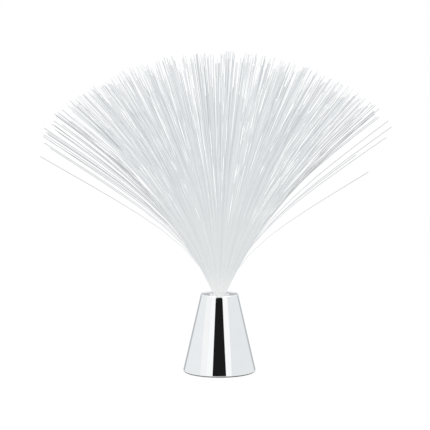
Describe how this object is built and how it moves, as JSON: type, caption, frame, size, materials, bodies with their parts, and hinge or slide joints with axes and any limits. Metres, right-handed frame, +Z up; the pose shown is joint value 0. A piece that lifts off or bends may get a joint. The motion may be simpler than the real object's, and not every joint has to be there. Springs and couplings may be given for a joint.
{
  "type": "fiber optic lamp",
  "caption": "Cordless table lamp: a spray of bare optical fibres fans out of a ferrule in the top of a chromed cone that holds cells, light and slide switch.",
  "frame": {"origin": "middle of the footprint, on the table", "axes": "+Z up along the cone's axis, -Y towards the viewer, the switch on the -Y side of the underside"},
  "size_m": [0.3632, 0.3618, 0.3259],
  "materials": {
    "chrome": "polished",
    "grey_abs": "satin",
    "foam": "matte",
    "steel": "satin",
    "nickel": "satin",
    "cell_jacket": "satin",
    "board": "satin",
    "black_plastic": "satin",
    "lens": "gloss",
    "white_plastic": "satin",
    "lead_red": "satin",
    "lead_black": "satin",
    "fibre": "gloss"
  },
  "bodies": {
    "base": {"base_shell": "chrome", "base_plate": "grey_abs", "foot_pad_1": "foam", "foot_pad_2": "foam", "foot_pad_3": "foam", "foot_pad_4": "foam", "plate_screw_1": "steel", "plate_screw_2": "steel", "plate_screw_3": "steel", "cell_1": "cell_jacket", "cell_2": "cell_jacket", "cell_3": "cell_jacket", "top_bridge": "nickel", "top_contact": "nickel", "top_spring": "nickel", "return_blade": "nickel", "well_cap": "grey_abs", "circuit_board": "board", "board_screw_1": "steel", "board_screw_2": "steel", "led": "lens", "light_cup": "white_plastic", "driver_chip": "black_plastic", "switch_body": "steel", "lead_blade_to_switch": "lead_black", "lead_switch_to_board": "lead_red"},
    "switch": {"switch_slider": "black_plastic"},
    "door": {"battery_door": "grey_abs", "door_bridge": "nickel", "door_contact": "nickel", "door_spring_1": "nickel", "door_spring_2": "nickel", "door_screw_1": "steel", "door_screw_2": "steel"},
    "spray": {"ferrule": "white_plastic", "fibre_bundle": "fibre"}
  },
  "joints": [
    {"name": "switch_slide", "type": "slide", "parent": "base", "child": "switch", "axis": [1, 0, 0], "range_m": [0, 0.003]},
    {"name": "door_drop", "type": "slide", "parent": "base", "child": "door", "axis": [0, 0, -1], "range_m": [0, 0.03]},
    {"name": "spray_lift", "type": "slide", "parent": "base", "child": "spray", "axis": [0, 0, 1], "range_m": [0, 0.03]}
  ]
}
